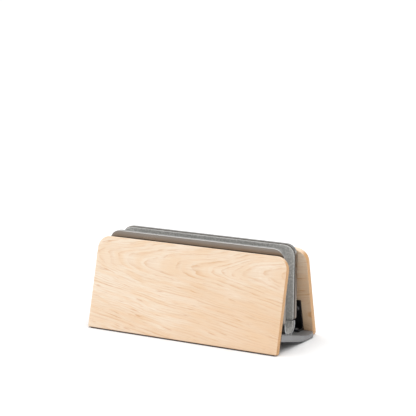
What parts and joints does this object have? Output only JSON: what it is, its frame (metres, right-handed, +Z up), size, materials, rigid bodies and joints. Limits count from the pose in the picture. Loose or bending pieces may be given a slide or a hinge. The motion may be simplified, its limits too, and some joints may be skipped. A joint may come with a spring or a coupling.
{
  "type": "laptop docking station",
  "caption": "Upright desk dock that holds a closed laptop on edge: maple panels lean over a cast base, with felt-lined sprung jaws and a felt saddle.",
  "frame": {"origin": "on the desk, under the middle of the dock", "axes": "+X along the laptop slot, +Y from the front panel to the rear panel, +Z up"},
  "size_m": [0.2102, 0.0892, 0.0935],
  "materials": {
    "base_coat": "grey powder coat, fine",
    "bracket_steel": "black phosphate steel",
    "bumper_rubber": "clear grey silicone",
    "foot_rubber": "dark rubber strip",
    "insert_brass": "turned brass",
    "jaw_metal": "grey anodised plate",
    "maple": "pale maple, fine satin",
    "pin_steel": "ground steel",
    "saddle_sheet": "anodised satin sheet",
    "screw_steel": "black oxide steel",
    "spring_wire": "drawn spring wire",
    "wool_felt": "pressed wool felt, light grey"
  },
  "bodies": {
    "frame": {"base_casting": "base_coat", "base_foot_pad": "foot_rubber", "front_foot_strip": "foot_rubber", "front_left_hinge_bracket": "bracket_steel", "front_left_hinge_pin": "pin_steel", "front_left_panel_bracket": "bracket_steel", "front_left_torsion_spring": "spring_wire", "front_panel": "maple", "front_panel_inserts": "insert_brass", "front_panel_screws": "screw_steel", "front_pin_clips": "pin_steel", "front_right_hinge_bracket": "bracket_steel", "front_right_hinge_pin": "pin_steel", "front_right_panel_bracket": "bracket_steel", "front_right_torsion_spring": "spring_wire", "front_stop_bumpers": "bumper_rubber", "hinge_bracket_screws": "screw_steel", "panel_bracket_screws": "screw_steel", "rear_foot_strip": "foot_rubber", "rear_left_hinge_bracket": "bracket_steel", "rear_left_hinge_pin": "pin_steel", "rear_left_panel_bracket": "bracket_steel", "rear_left_torsion_spring": "spring_wire", "rear_panel": "maple", "rear_panel_inserts": "insert_brass", "rear_panel_screws": "screw_steel", "rear_pin_clips": "pin_steel", "rear_right_hinge_bracket": "bracket_steel", "rear_right_hinge_pin": "pin_steel", "rear_right_panel_bracket": "bracket_steel", "rear_right_torsion_spring": "spring_wire", "rear_stop_bumpers": "bumper_rubber", "saddle_channel": "saddle_sheet", "saddle_felt": "wool_felt", "saddle_rivets": "pin_steel"},
    "front_jaw": {"front_jaw_plate": "jaw_metal", "front_jaw_felt": "wool_felt"},
    "rear_jaw": {"rear_jaw_plate": "jaw_metal", "rear_jaw_felt": "wool_felt"}
  },
  "joints": [
    {"name": "front_jaw_tilt", "type": "hinge", "parent": "frame", "child": "front_jaw", "pos_m": [0, -0.0149, 0.0195], "axis": [1, 0, 0], "range_deg": [-4, 1.3], "stiffness_Nm_per_rad": 1.2, "springref_deg": -6.88},
    {"name": "rear_jaw_tilt", "type": "hinge", "parent": "frame", "child": "rear_jaw", "pos_m": [0, 0.0149, 0.0195], "axis": [-1, 0, 0], "range_deg": [-4, 1.3], "stiffness_Nm_per_rad": 1.2, "springref_deg": -6.88}
  ]
}
